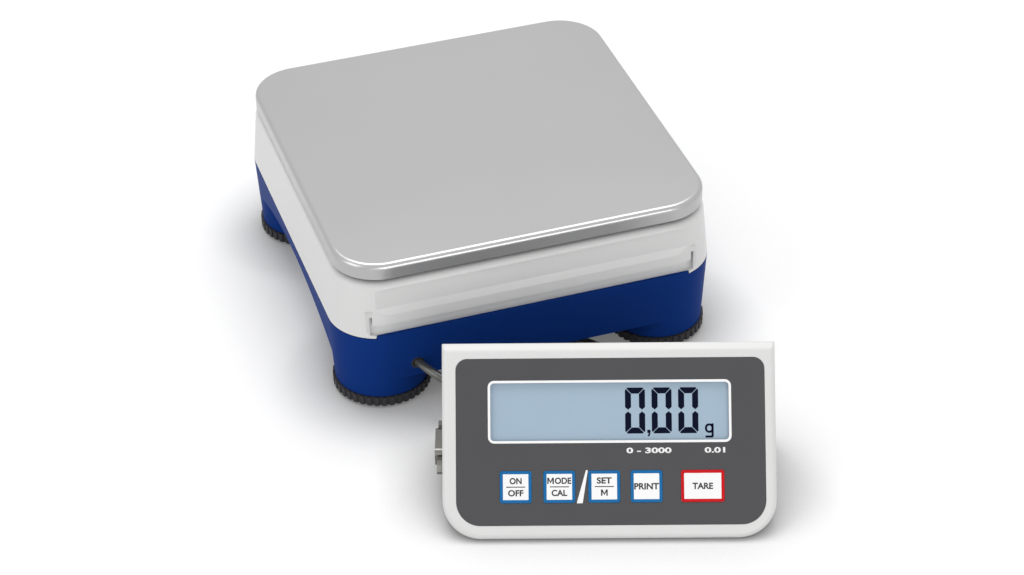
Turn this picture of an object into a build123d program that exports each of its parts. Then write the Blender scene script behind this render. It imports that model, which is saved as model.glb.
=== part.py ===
"""Precision balance: a low square weighing unit and a separate display console on a cord.

All sizes are in millimetres. +Z is up, the front of the weighing unit faces -Y, and the
origin is on the table, under the middle of the box round the unit and its console.
"""
import os
from math import cos, pi, radians, sin, sqrt, tan

from build123d import *

os.makedirs("parts", exist_ok=True)

# Weighing unit
body_w = 165.0
body_d = 165.0
body_r = 21.5
seam_z = 36.4
cover_top = 62.0
cover_draft = 5.3
body_draft = 3.4
wall = 2.5
seam_gap = 0.4
fit_gap = 0.15
over = 1.0
unit_y = 61.9

# Lower housing
skirt_z = 14.0
pillar_z = 5.5
arch_top = 30.2
arch_r = 151.6
tongue_w = 135.0
tongue_z = 38.1
tongue_t = 1.6
insert_r = 6.5
insert_l = 17.0
insert_boss_r = 9.0
insert_boss_top = 24.0
register_h = 2.6
register_t = 1.2
register_gap = 0.4

# Front of the cover: a shallow panel, a lip and a groove under it
lip_w = 138.0
panel_top = 59.3
panel_step = 0.8
panel_depth = 1.0
lip_shoulder = 50.3
lip_nose = 47.3
lip_z = 43.0
groove_depth = 1.9
slit_w = 1.2
slit_top = 46.7
groove_back_t = 3.0
cover_edge_r = 3.0

# Feet
wheel_r = 20.6
wheel_h = 4.0
wheel_teeth = 40
tooth_gap_r = 0.75
pad_r = 17.0
pad_h = 1.2
pad_pin_r = 5.0
pad_pin_h = 1.5
pad_pin_gap = 0.3
stud_r = 3.9
stud_gap = 0.1
stud_clear = 0.4
stud_top = 21.0

# Frame, load cell and what it carries
base_z = 33.0
base_t = 4.0
base_gap_x = 7.0
base_gap_y = 10.0
base_r = 12.0
cell_w = 30.0
cell_gap = 15.0
cell_h = 20.0
cell_eye_r = 6.5
cell_eye_pitch = 26.0
cell_slot = 3.0
spacer_t = 1.5
spacer_l = 32.0
cell_screw_r = 3.0
cell_screw_end = 8.0
cell_screw_pitch = 16.0
cell_head_r = 5.0
cell_head_h = 3.6
support_head_h = 2.4
screw_end_gap = 1.0
potting_l = 44.0
potting_h = 15.0
potting_t = 1.2
stop_r = 2.5
stop_gap = 0.3
stop_nut_r = 4.5
stop_nut_h = 2.4
boss_inset_x = 9.0
boss_inset_y = 36.0
boss_r = 5.0
screw_r = 2.0
screw_head_r = 3.6
screw_head_h = 2.4
screw_sunk = 0.5
screw_bite = 11.0
hub_w = 26.0
hub_d = 28.0
port_gap = 3.0
port_rim_t = 1.5
port_rim_h = 0.8
support_z = 63.4
support_t = 2.6
support_inset = 24.0
support_r = 14.0
support_bar = 21.0
support_rib_t = 3.0
pad_seat_h = 1.4
rest_r = 6.0
rest_t = 1.2
rest_inset = 9.0

# Weighing plate
plate_inset = 2.5
plate_r = 20.0
plate_top = 71.0
plate_rim = 6.8
plate_t = 1.2
plate_edge_r = 2.2

# Level under the plate
level_r = 9.0
level_h = 4.6
level_gap = 1.0
vial_r = 7.3
vial_h = 3.6
vial_edge_r = 0.6

# Converter board
board_gap = 6.8
board_w = 38.0
board_d = 58.0
board_t = 1.6
board_hole_x = 15.0
board_hole_y = 25.0
standoff_h = 5.0
standoff_r = 2.8
board_screw_r = 1.2
board_screw_head_r = 2.4
board_screw_head_h = 1.4
can_w = 22.0
can_d = 18.0
can_h = 4.0
can_r = 1.0
can_spot = (2.0, -8.0)
chip_w = 10.0
chip_h = 1.8
chip_spot = (6.0, 12.0)
driver_spot = (-4.0, 24.0)
crystal_spot = (2.0, -24.0)
plug_w = 7.0
plug_d = 12.0
plug_h = 6.0
plug_x = -12.0
plug_y = 9.0
lead_r = 1.2
lead_bend = 2.0

# Display console
console_x = -5.1
console_ahead = 187.2
console_turn = -18.7
console_w = 130.0
console_off = 0.55
console_z = 1.0
face_tilt = 49.0
face_edge_z = 6.0
face_below = 5.0
face_above = 68.0
bevel_l = 4.3
bevel_tilt = 15.0
heel_y = 61.0
shell_t = 2.5
corner_low_r = 15.0
face_edge_r = 2.4
rim_edge_r = 1.0
console_base_t = 2.2
console_foot_r = 5.0
console_foot_h = 2.2
console_foot_x = 48.0
console_foot_y = (8.0, 52.0)
post_x = 56.5
post_y = (14.0, 50.0)
post_r = 3.8

# Front panel in the face
panel_w = 120.4
panel_h = 65.0
panel_low_r = 9.5
panel_top_r = 4.5
panel_recess = 1.2
film_t = 0.25
dome_h = 0.35
dome_r = 4.0
overlay_t = 0.5
overlay_proud = 0.1
key_row_y = 15.0
key_h = 12.4
key_w = 12.3
tare_w = 16.8
key_t = 0.4
key_proud = 0.25
key_gap = 0.15
key_r = 0.9
keys = {
    "key_on_off": (-37.0, key_w),
    "key_mode": (-20.05, key_w),
    "key_set": (-2.6, key_w),
    "key_print": (13.8, key_w),
    "key_tare": (35.6, tare_w),
}

# Liquid-crystal display
window_w = 92.8
window_h = 22.5
window_x = -0.3
window_y = 44.15
window_r = 1.5
glass_w = 99.4
glass_h = 30.0
glass_t = 2.2
light_t = 3.6
glass_gap = 0.3
main_gap = 6.5
main_low = 6.0
main_high = 60.0
main_t = 1.6
main_boss_inset = 5.0
main_boss_y = (10.0, 24.0)
main_boss_r = 3.0
cpu_w = 14.0
cpu_y = 17.0
cpu_t = 2.0
cpu_side_x = 21.0
driver_x = 14.0
driver_y = 34.0

# Serial port in the left wall, a nine-way D connector
serial_y = 35.0
serial_z = 17.0
d_w = 16.9
d_h = 8.4
d_wall = 0.5
d_slope = 80.0
d_r = 2.2
d_out = 5.8
flange_w = 30.8
flange_h = 12.5
flange_t = 0.8
jack_pitch = 25.0
jack_r = 2.75
jack_l = 4.9
jack_bore_r = 1.25
flange_hole_r = 1.6
pin_pitch = 2.76
pin_row = 2.84
pin_hole_r = 0.55
insert_back = 6.0

# Power inlet in the right wall
inlet_y = 38.0
inlet_z = 14.0
inlet_body = 11.0
inlet_nose_r = 4.4
inlet_bore_r = 2.85
inlet_depth = 9.0
inlet_pin_r = 1.0

# Cord between the unit and the console
cord_r = 1.9
bend_share = 0.45
hole_inset = 10.0
hole_z = 20.5
grommet_r = 2.8
grommet_flange_r = 3.8
grommet_flange_t = 0.9
gland_x = 51.35
gland_z = 7.0
gland_r = 3.4
gland_tip_r = 2.6
gland_l = 9.0
gland_inside = 3.0
coil_x = 6.0
coil_y = -92.0
coil_turns = 4
coil_layers = 2
wound_turns = 7.15
coil_mid_r = 21.0
tie_w = 4.0
tie_t = 0.5
tie_angle = 95.0
cord_out = [
    (-52.0, -77.6, 20.6),
    (-49.2, -85.4, 20.2),
    (-44.6, -92.4, 17.9),
    (-37.6, -98.2, 13.6),
    (-29.4, -103.0, 8.6),
    (-20.6, -107.3, 4.3),
    (-12.6, -112.2, 2.0),
    (-4.4, -116.8, 1.95),
]
cord_back = [
    (19.4, -115.1, 5.7),
    (27.6, -110.4, 4.9),
    (36.9, -107.3, 3.2),
    (46.5, -107.3, 2.0),
    (55.2, -110.9, 1.95),
    (62.0, -117.4, 2.3),
    (65.8, -126.0, 3.6),
    (66.1, -135.4, 5.4),
    (63.3, -143.7, 7.0),
]

# Derived sizes and places
half_w = body_w / 2
half_d = body_d / 2
foot_x = half_w - body_r
foot_y = half_d - body_r
arch_z = arch_top - arch_r
register_w = body_w - 2 * wall - 2 * register_gap
register_d = body_d - 2 * wall - 2 * register_gap
register_r = body_r - wall - register_gap
base_w = body_w - 2 * wall - 2 * base_gap_x
base_d = body_d - 2 * wall - 2 * base_gap_y
base_top = base_z + base_t
boss_x = base_w / 2 - boss_inset_x
boss_y = base_d / 2 - boss_inset_y
cell_l = body_d - 2 * wall - 2 * cell_gap
cell_screw_y = (cell_l / 2 - cell_screw_end - cell_screw_pitch, cell_l / 2 - cell_screw_end)
hub_y = -sum(cell_screw_y) / 2
plate_w = body_w - 2 * plate_inset
plate_d = body_d - 2 * plate_inset
support_w = plate_w - 2 * support_inset
support_d = plate_d - 2 * support_inset
opening_w = (support_w - 3 * support_bar) / 2
opening_d = (support_d - 3 * support_bar) / 2
opening_r = min(support_r / 2, opening_w / 3, opening_d / 3)
level_y = support_d / 2 + level_gap + level_r
board_x = cell_w / 2 + potting_t + board_gap + board_w / 2
hole_x = hole_inset - foot_x
console_y = unit_y - console_ahead
cell_z = base_top + spacer_t
cell_top = cell_z + cell_h
cover_inner = cover_top - wall
support_top = support_z + support_t
rest_z = support_top + pad_seat_h
plate_inner = plate_top - plate_t
board_z = base_top + standoff_h
board_top = board_z + board_t
half_console = console_w / 2
glass_z = -panel_recess - glass_t
light_z = glass_z - light_t
main_z = light_z - main_t
main_w = 2 * (post_x - main_gap)
main_boss_x = main_w / 2 - main_boss_inset
overlay_z = overlay_proud - overlay_t
film_z = -panel_recess + film_t

unit = Plane((0, unit_y, 0))
unit_side = Plane((0, unit_y, 0), x_dir=(0, 1, 0), z_dir=(1, 0, 0))
slope = radians(body_draft)
hole_y = half_d - (seam_z - hole_z) * tan(slope)
hole = Plane((hole_x, unit_y - hole_y, hole_z), x_dir=(1, 0, 0), z_dir=(0, -cos(slope), -sin(slope)))
turn = radians(console_turn)
across = Vector(cos(turn), sin(turn), 0)
away = Vector(-sin(turn), cos(turn), 0)
console_middle = Vector(console_x, console_y, 0) - across * console_off
desk = Plane(console_middle, x_dir=across, z_dir=(0, 0, 1))
desk_side = Plane(console_middle, x_dir=away, z_dir=across)
face = Plane(desk.location * Location((console_off, 0, face_edge_z), (face_tilt, 0, 0)))


def front_y(z):
    """Distance of the cover's sloping front from the middle of the unit, at height z."""
    return -(half_d - (z - seam_z) * tan(radians(cover_draft)))


def vault_z(y, lift=0.0):
    """Height of the arched underside, or of a surface lifted from it, at distance y."""
    radius = arch_r + lift
    return arch_z + sqrt(radius * radius - y * y)


def corners(x, y):
    """The four mirrored places of a point in the unit's plan."""
    return [(x, y), (-x, y), (-x, -y), (x, -y)]


screw_head_z = vault_z(boss_y) + screw_sunk

# Lower housing: a drafted block over a vault, on four round pillars
with BuildPart() as housing_room:
    with BuildSketch(unit.offset(seam_z)):
        RectangleRounded(body_w - 2 * wall, body_d - 2 * wall, body_r - wall)
    extrude(amount=-(seam_z - skirt_z - wall), taper=body_draft)
    with BuildSketch(unit_side):
        with Locations((0, arch_z)):
            Circle(arch_r + wall)
    extrude(amount=half_w, both=True, mode=Mode.SUBTRACT)

with BuildPart() as lower_housing:
    with BuildSketch(unit.offset(seam_z)):
        RectangleRounded(body_w, body_d, body_r)
    extrude(amount=-(seam_z - skirt_z), taper=body_draft)
    with BuildSketch(unit_side):
        with Locations((0, arch_z)):
            Circle(arch_r)
    extrude(amount=half_w + over, both=True, mode=Mode.SUBTRACT)
    with BuildSketch(unit.offset(seam_z)):
        with Locations(*corners(foot_x, foot_y)):
            Circle(body_r)
    extrude(amount=-(seam_z - pillar_z), taper=body_draft)
    add(housing_room.part, mode=Mode.SUBTRACT)
    # Bosses for the foot inserts and for the long screws
    with BuildSketch(unit.offset(skirt_z)):
        with Locations(*corners(foot_x, foot_y)):
            Circle(insert_boss_r)
    extrude(amount=insert_boss_top - skirt_z)
    with BuildSketch(unit.offset(base_z)):
        with Locations(*corners(boss_x, boss_y)):
            Circle(boss_r)
    extrude(amount=vault_z(boss_y) + over - base_z)
    with BuildSketch(unit.offset(pillar_z)):
        with Locations(*corners(foot_x, foot_y)):
            Circle(insert_r)
    extrude(amount=insert_l, mode=Mode.SUBTRACT)
    with BuildSketch(unit.offset(pillar_z)):
        with Locations(*corners(foot_x, foot_y)):
            Circle(stud_r + stud_clear)
    extrude(amount=insert_boss_top - pillar_z, mode=Mode.SUBTRACT)
    with BuildSketch(unit.offset(skirt_z)):
        with Locations(*corners(boss_x, boss_y)):
            Circle(screw_r + fit_gap)
    extrude(amount=base_z - skirt_z, mode=Mode.SUBTRACT)
    with BuildSketch(unit.offset(skirt_z)):
        with Locations(*corners(boss_x, boss_y)):
            Circle(screw_head_r + fit_gap)
    extrude(amount=screw_head_z + screw_head_h - skirt_z, mode=Mode.SUBTRACT)
    # Tongue that fills the cut-out under the cover's front lip
    with BuildSketch(unit.offset(seam_z)):
        RectangleRounded(body_w, body_d, body_r)
        with Locations((0, -half_d + tongue_t / 2)):
            Rectangle(tongue_w, tongue_t, mode=Mode.INTERSECT)
    extrude(amount=tongue_z - seam_z)
    # Register inside the seam
    with BuildSketch(unit.offset(seam_z - register_h)):
        RectangleRounded(body_w - 2 * wall, body_d - 2 * wall, body_r - wall)
        offset(amount=-register_t - register_gap, mode=Mode.SUBTRACT)
    extrude(amount=register_h)
    with BuildSketch(unit.offset(seam_z)):
        RectangleRounded(register_w, register_d, register_r)
        offset(amount=-register_t, mode=Mode.SUBTRACT)
    extrude(amount=register_h)
    # Hole for the cord
    with BuildSketch(hole):
        Circle(grommet_r)
    extrude(amount=2 * wall, both=True, mode=Mode.SUBTRACT)
lower_housing.part.label = "lower_housing"
export_step(lower_housing.part, "parts/lower_housing.step")

# Brass inserts for the feet, one in each pillar
with BuildPart() as foot_inserts:
    with BuildSketch(unit.offset(pillar_z)):
        with Locations(*corners(foot_x, foot_y)):
            Circle(insert_r)
            Circle(stud_r + stud_gap, mode=Mode.SUBTRACT)
    extrude(amount=insert_l)
foot_inserts.part.label = "foot_inserts"
export_step(foot_inserts.part, "parts/foot_inserts.step")

# Feet: a rubber pad that slides, and a knurled wheel with its stud that turns on it
places = {
    "front_left": (-foot_x, -foot_y),
    "front_right": (foot_x, -foot_y),
    "back_left": (-foot_x, foot_y),
    "back_right": (foot_x, foot_y),
}
for place, spot in places.items():
    with BuildPart() as foot_pad:
        with BuildSketch(unit):
            with Locations(spot):
                Circle(pad_r)
        extrude(amount=pad_h)
        with BuildSketch(unit.offset(pad_h)):
            with Locations(spot):
                Circle(pad_pin_r)
        extrude(amount=pad_pin_h)
    foot_pad.part.label = f"foot_pad_{place}"
    export_step(foot_pad.part, f"parts/foot_pad_{place}.step")

    with BuildPart() as foot_wheel:
        with BuildSketch(unit.offset(pad_h)):
            with Locations(spot):
                Circle(wheel_r)
                with PolarLocations(wheel_r, wheel_teeth):
                    Circle(tooth_gap_r, mode=Mode.SUBTRACT)
        extrude(amount=wheel_h)
        with BuildSketch(unit.offset(pad_h)):
            with Locations(spot):
                Circle(pad_pin_r + pad_pin_gap)
        extrude(amount=pad_pin_h + pad_pin_gap, mode=Mode.SUBTRACT)
        with BuildSketch(unit.offset(pad_h + wheel_h)):
            with Locations(spot):
                Circle(stud_r)
        extrude(amount=stud_top - pad_h - wheel_h)
    foot_wheel.part.label = f"foot_wheel_{place}"
    export_step(foot_wheel.part, f"parts/foot_wheel_{place}.step")

# Room of the groove under the lip and of the slits at its ends, as deep all along
with BuildPart() as groove_room:
    with BuildSketch(unit.offset(tongue_z)):
        with Locations((0, -half_d)):
            Rectangle(lip_w + 2 * slit_w, body_r)
    extrude(amount=lip_z - tongue_z)
    with BuildSketch(unit.offset(tongue_z)):
        with Locations((-lip_w / 2 - slit_w / 2, -half_d), (lip_w / 2 + slit_w / 2, -half_d)):
            Rectangle(slit_w, body_r)
    extrude(amount=slit_top - tongue_z)
    with BuildSketch(unit.offset(seam_z)):
        RectangleRounded(body_w - 2 * groove_depth, body_d - 2 * groove_depth, body_r - groove_depth)
    extrude(amount=cover_top - seam_z, taper=cover_draft, mode=Mode.SUBTRACT)

# Top cover: a drafted shell with a rounded shoulder, open below
with BuildPart() as top_cover:
    with BuildSketch(unit.offset(seam_z)):
        RectangleRounded(body_w, body_d, body_r)
    extrude(amount=cover_top - seam_z, taper=cover_draft)
    fillet(top_cover.faces().sort_by(Axis.Z)[-1].edges(), cover_edge_r)
    with BuildSketch(unit.offset(seam_z)):
        RectangleRounded(body_w - 2 * wall, body_d - 2 * wall, body_r - wall)
    extrude(amount=cover_inner - seam_z, taper=cover_draft, mode=Mode.SUBTRACT)
    # Thicker wall behind the groove
    with BuildSketch(unit.offset(seam_z + register_h + seam_gap)):
        with Locations((0, wall - half_d + groove_back_t / 2)):
            Rectangle(lip_w + 2 * slit_w + wall, groove_back_t)
    extrude(amount=slit_top + wall - seam_z - register_h - seam_gap)
    # Panel, lip and groove across the front
    with BuildSketch(unit_side):
        with BuildLine():
            Polyline(
                (front_y(panel_top) - over, panel_top),
                (front_y(panel_top), panel_top),
                (front_y(panel_top - panel_step) + panel_depth, panel_top - panel_step),
                (front_y(lip_shoulder) + panel_depth, lip_shoulder),
                (front_y(lip_nose), lip_nose),
                (front_y(lip_nose) - over, lip_nose),
                close=True,
            )
        make_face()
    extrude(amount=lip_w / 2, both=True, mode=Mode.SUBTRACT)
    add(groove_room.part, mode=Mode.SUBTRACT)
    with BuildSketch(unit.offset(seam_z)):
        with Locations((0, -half_d + (tongue_t + seam_gap - over) / 2)):
            Rectangle(tongue_w + 2 * seam_gap, tongue_t + seam_gap + over)
    extrude(amount=tongue_z + seam_gap - seam_z, mode=Mode.SUBTRACT)
    # Bosses for the long screws
    with BuildSketch(unit.offset(base_top)):
        with Locations(*corners(boss_x, boss_y)):
            Circle(boss_r)
    extrude(amount=cover_inner + over - base_top)
    with BuildSketch(unit.offset(base_top)):
        with Locations(*corners(boss_x, boss_y)):
            Circle(screw_r)
    extrude(amount=screw_bite, mode=Mode.SUBTRACT)
    # Opening for the hub, with a raised rim
    with BuildSketch(unit.offset(cover_top)):
        with Locations((0, hub_y)):
            Rectangle(hub_w + 2 * port_gap + 2 * port_rim_t, hub_d + 2 * port_gap + 2 * port_rim_t)
    extrude(amount=port_rim_h)
    with BuildSketch(unit.offset(cover_inner)):
        with Locations((0, hub_y)):
            Rectangle(hub_w + 2 * port_gap, hub_d + 2 * port_gap)
    extrude(amount=wall + port_rim_h, mode=Mode.SUBTRACT)
    # Flat ring gap that keeps the seam open as a thin line
    with BuildSketch(unit.offset(seam_z)):
        RectangleRounded(body_w + over, body_d + over, body_r)
    extrude(amount=seam_gap, mode=Mode.SUBTRACT)
top_cover.part.label = "top_cover"
export_step(top_cover.part, "parts/top_cover.step")

# Base plate that carries the cell, the stop and the converter board
with BuildPart() as base_plate:
    with BuildSketch(unit.offset(base_z)):
        RectangleRounded(base_w, base_d, base_r)
        with Locations(*corners(boss_x, boss_y)):
            Circle(screw_r + fit_gap, mode=Mode.SUBTRACT)
        with Locations(*[(0, y) for y in cell_screw_y]):
            Circle(cell_screw_r, mode=Mode.SUBTRACT)
        with Locations((0, -cell_screw_y[1])):
            Circle(stop_r, mode=Mode.SUBTRACT)
    extrude(amount=base_t)
base_plate.part.label = "base_plate"
export_step(base_plate.part, "parts/base_plate.step")

# Load cell: one aluminium block with two linked eyes
with BuildPart() as load_cell:
    with BuildSketch(unit_side):
        with Locations((0, cell_z + cell_h / 2)):
            Rectangle(cell_l, cell_h)
            Rectangle(cell_eye_pitch, cell_slot, mode=Mode.SUBTRACT)
            with Locations((-cell_eye_pitch / 2, 0), (cell_eye_pitch / 2, 0)):
                Circle(cell_eye_r, mode=Mode.SUBTRACT)
    extrude(amount=cell_w / 2, both=True)
    with BuildSketch(unit.offset(cell_z)):
        with Locations(*[(0, y) for y in cell_screw_y]):
            Circle(cell_screw_r)
    extrude(amount=cell_h / 2, mode=Mode.SUBTRACT)
    with BuildSketch(unit.offset(cell_top)):
        with Locations(*[(0, -y) for y in cell_screw_y]):
            Circle(cell_screw_r)
    extrude(amount=-cell_h / 2, mode=Mode.SUBTRACT)
load_cell.part.label = "load_cell"
export_step(load_cell.part, "parts/load_cell.step")

with BuildPart() as cell_potting:
    for side in (-1, 1):
        with BuildSketch(unit_side.offset(side * cell_w / 2)):
            with Locations((0, cell_z + cell_h / 2)):
                RectangleRounded(potting_l, potting_h, potting_h / 4)
        extrude(amount=side * potting_t)
cell_potting.part.label = "cell_potting"
export_step(cell_potting.part, "parts/cell_potting.step")

with BuildPart() as cell_spacer:
    with BuildSketch(unit.offset(base_top)):
        with Locations((0, sum(cell_screw_y) / 2)):
            Rectangle(cell_w, spacer_l)
        with Locations(*[(0, y) for y in cell_screw_y]):
            Circle(cell_screw_r, mode=Mode.SUBTRACT)
    extrude(amount=spacer_t)
cell_spacer.part.label = "cell_spacer"
export_step(cell_spacer.part, "parts/cell_spacer.step")

with BuildPart() as cell_screws:
    with BuildSketch(unit.offset(base_z)):
        with Locations(*[(0, y) for y in cell_screw_y]):
            Circle(cell_head_r)
    extrude(amount=-cell_head_h)
    with BuildSketch(unit.offset(base_z - cell_head_h)):
        with Locations(*[(0, y) for y in cell_screw_y]):
            RegularPolygon(cell_screw_r, 6)
    extrude(amount=cell_head_h / 2, mode=Mode.SUBTRACT)
    with BuildSketch(unit.offset(base_z)):
        with Locations(*[(0, y) for y in cell_screw_y]):
            Circle(cell_screw_r)
    extrude(amount=base_t + spacer_t + cell_h / 2 - screw_end_gap)
cell_screws.part.label = "cell_screws"
export_step(cell_screws.part, "parts/cell_screws.step")

with BuildPart() as overload_stop:
    with BuildSketch(unit.offset(base_z - stop_nut_h)):
        with Locations((0, -cell_screw_y[1])):
            RegularPolygon(stop_nut_r, 6)
    extrude(amount=stop_nut_h)
    with BuildSketch(unit.offset(base_z)):
        with Locations((0, -cell_screw_y[1])):
            Circle(stop_r)
    extrude(amount=cell_z - stop_gap - base_z)
overload_stop.part.label = "overload_stop"
export_step(overload_stop.part, "parts/overload_stop.step")

# Pan support: a cast frame with a cross, on a hub that stands on the cell's free end
with BuildPart() as pan_support:
    with BuildSketch(unit.offset(support_z)):
        RectangleRounded(support_w, support_d, support_r)
        with Locations(*corners((support_w - support_bar) / 4, (support_d - support_bar) / 4)):
            RectangleRounded(opening_w, opening_d, opening_r, mode=Mode.SUBTRACT)
    extrude(amount=support_t)
    with BuildSketch(unit.offset(support_top)):
        Rectangle(support_rib_t, support_d - 2 * support_bar)
        Rectangle(support_w - 2 * support_bar, support_rib_t)
        with Locations((0, hub_y)):
            Rectangle(support_bar, hub_d, mode=Mode.SUBTRACT)
    extrude(amount=pad_seat_h)
    with BuildSketch(unit.offset(support_top)):
        with Locations(*corners(support_w / 2 - rest_inset, support_d / 2 - rest_inset)):
            Circle(rest_r + rest_t)
    extrude(amount=pad_seat_h)
    with BuildSketch(unit.offset(cell_top)):
        with Locations((0, hub_y)):
            Rectangle(hub_w, hub_d)
    extrude(amount=support_top - cell_top)
    with BuildSketch(unit.offset(cell_top)):
        with Locations(*[(0, -y) for y in cell_screw_y]):
            Circle(cell_screw_r)
    extrude(amount=support_top - cell_top, mode=Mode.SUBTRACT)
pan_support.part.label = "pan_support"
export_step(pan_support.part, "parts/pan_support.step")

with BuildPart() as support_screws:
    with BuildSketch(unit.offset(support_top)):
        with Locations(*[(0, -y) for y in cell_screw_y]):
            Circle(cell_head_r)
    extrude(amount=support_head_h)
    with BuildSketch(unit.offset(support_top + support_head_h)):
        with Locations(*[(0, -y) for y in cell_screw_y]):
            RegularPolygon(cell_screw_r, 6)
    extrude(amount=-support_head_h / 2, mode=Mode.SUBTRACT)
    with BuildSketch(unit.offset(support_top)):
        with Locations(*[(0, -y) for y in cell_screw_y]):
            Circle(cell_screw_r)
    extrude(amount=cell_top - cell_h / 2 + screw_end_gap - support_top)
support_screws.part.label = "support_screws"
export_step(support_screws.part, "parts/support_screws.step")

with BuildPart() as plate_rests:
    with BuildSketch(unit.offset(rest_z)):
        with Locations(*corners(support_w / 2 - rest_inset, support_d / 2 - rest_inset)):
            Circle(rest_r)
    extrude(amount=plate_inner - rest_z)
plate_rests.part.label = "plate_rests"
export_step(plate_rests.part, "parts/plate_rests.step")

# Weighing plate: a shallow tray of sheet steel, upside down, that lifts off
with BuildPart() as weighing_plate:
    with BuildSketch(unit.offset(plate_top - plate_rim)):
        RectangleRounded(plate_w, plate_d, plate_r)
    extrude(amount=plate_rim)
    fillet(weighing_plate.faces().sort_by(Axis.Z)[-1].edges(), plate_edge_r)
    with BuildSketch(unit.offset(plate_top - plate_rim)):
        RectangleRounded(plate_w - 2 * plate_t, plate_d - 2 * plate_t, plate_r - plate_t)
    extrude(amount=plate_rim - plate_t, mode=Mode.SUBTRACT)
weighing_plate.part.label = "weighing_plate"
export_step(weighing_plate.part, "parts/weighing_plate.step")

# Round level, seen once the plate is off
with BuildPart() as level_ring:
    with BuildSketch(unit.offset(cover_top)):
        with Locations((0, level_y)):
            Circle(level_r)
    extrude(amount=level_h)
    with BuildSketch(unit.offset(cover_top + level_h)):
        with Locations((0, level_y)):
            Circle(vial_r)
    extrude(amount=-vial_h, mode=Mode.SUBTRACT)
level_ring.part.label = "level_ring"
export_step(level_ring.part, "parts/level_ring.step")

with BuildPart() as level_vial:
    with BuildSketch(unit.offset(cover_top + level_h - vial_h)):
        with Locations((0, level_y)):
            Circle(vial_r)
    extrude(amount=vial_h)
    fillet(level_vial.faces().sort_by(Axis.Z)[-1].edges(), vial_edge_r)
level_vial.part.label = "level_vial"
export_step(level_vial.part, "parts/level_vial.step")

# Long screws from below, through the housing and the base plate into the cover
with BuildPart() as cover_screws:
    with BuildSketch(unit.offset(screw_head_z)):
        with Locations(*corners(boss_x, boss_y)):
            Circle(screw_head_r)
    extrude(amount=screw_head_h)
    with BuildSketch(unit.offset(screw_head_z)):
        with Locations(*corners(boss_x, boss_y)):
            Rectangle(screw_r * 2, screw_r / 2)
            Rectangle(screw_r / 2, screw_r * 2)
    extrude(amount=screw_head_h / 2, mode=Mode.SUBTRACT)
    with BuildSketch(unit.offset(screw_head_z + screw_head_h)):
        with Locations(*corners(boss_x, boss_y)):
            Circle(screw_r)
    extrude(amount=base_top + screw_bite - screw_end_gap - screw_head_z - screw_head_h)
cover_screws.part.label = "cover_screws"
export_step(cover_screws.part, "parts/cover_screws.step")

# Converter board with its standoffs, screws, parts and the cell's lead
board_holes = [(board_x + x, y) for x, y in corners(board_hole_x, board_hole_y)]
with BuildPart() as converter_board:
    with BuildSketch(unit.offset(board_z)):
        with Locations((board_x, 0)):
            Rectangle(board_w, board_d)
        with Locations(*board_holes):
            Circle(board_screw_r, mode=Mode.SUBTRACT)
    extrude(amount=board_t)
converter_board.part.label = "converter_board"
export_step(converter_board.part, "parts/converter_board.step")

with BuildPart() as board_standoffs:
    with BuildSketch(unit.offset(base_top)):
        with Locations(*board_holes):
            RegularPolygon(standoff_r, 6)
            Circle(board_screw_r, mode=Mode.SUBTRACT)
    extrude(amount=standoff_h)
board_standoffs.part.label = "board_standoffs"
export_step(board_standoffs.part, "parts/board_standoffs.step")

with BuildPart() as board_screws:
    with BuildSketch(unit.offset(board_top)):
        with Locations(*board_holes):
            Circle(board_screw_head_r)
    extrude(amount=board_screw_head_h)
    with BuildSketch(unit.offset(board_top)):
        with Locations(*board_holes):
            Circle(board_screw_r)
    extrude(amount=-board_t - standoff_h + screw_end_gap)
board_screws.part.label = "board_screws"
export_step(board_screws.part, "parts/board_screws.step")

with BuildPart() as board_parts:
    with BuildSketch(unit.offset(board_top)):
        with Locations((board_x + can_spot[0], can_spot[1])):
            RectangleRounded(can_w, can_d, can_r)
    extrude(amount=can_h)
    with BuildSketch(unit.offset(board_top)):
        with Locations((board_x + chip_spot[0], chip_spot[1])):
            Rectangle(chip_w, chip_w)
        with Locations((board_x + driver_spot[0], driver_spot[1])):
            Rectangle(chip_w, chip_w / 2)
        with Locations((board_x + crystal_spot[0], crystal_spot[1])):
            Rectangle(chip_w / 2, chip_w / 2)
    extrude(amount=chip_h)
board_parts.part.label = "board_parts"
export_step(board_parts.part, "parts/board_parts.step")

with BuildPart() as lead_plug:
    with BuildSketch(unit.offset(board_top)):
        with Locations((board_x + plug_x, plug_y)):
            Rectangle(plug_w, plug_d)
    extrude(amount=plug_h)
lead_plug.part.label = "lead_plug"
export_step(lead_plug.part, "parts/lead_plug.step")

with BuildPart() as cell_lead:
    lead_z = cell_z + cell_h / 2 + potting_h / 4
    with BuildLine() as lead_path:
        FilletPolyline(
            (cell_w / 2 + potting_t, unit_y + plug_y, lead_z),
            (board_x + plug_x, unit_y + plug_y, lead_z),
            (board_x + plug_x, unit_y + plug_y, board_top + plug_h),
            radius=lead_bend,
        )
    with BuildSketch(Plane(lead_path.line @ 0, z_dir=lead_path.line % 0)):
        Circle(lead_r)
    sweep()
cell_lead.part.label = "cell_lead"
export_step(cell_lead.part, "parts/cell_lead.step")


tilt = radians(face_tilt)
rise = radians(bevel_tilt)
ridge = Vector(face_above * cos(tilt), face_edge_z + face_above * sin(tilt))
rim = ridge + Vector(bevel_l * cos(rise), bevel_l * sin(rise))
back_lean = (heel_y - rim.X) / (rim.Y - console_z)


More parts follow.
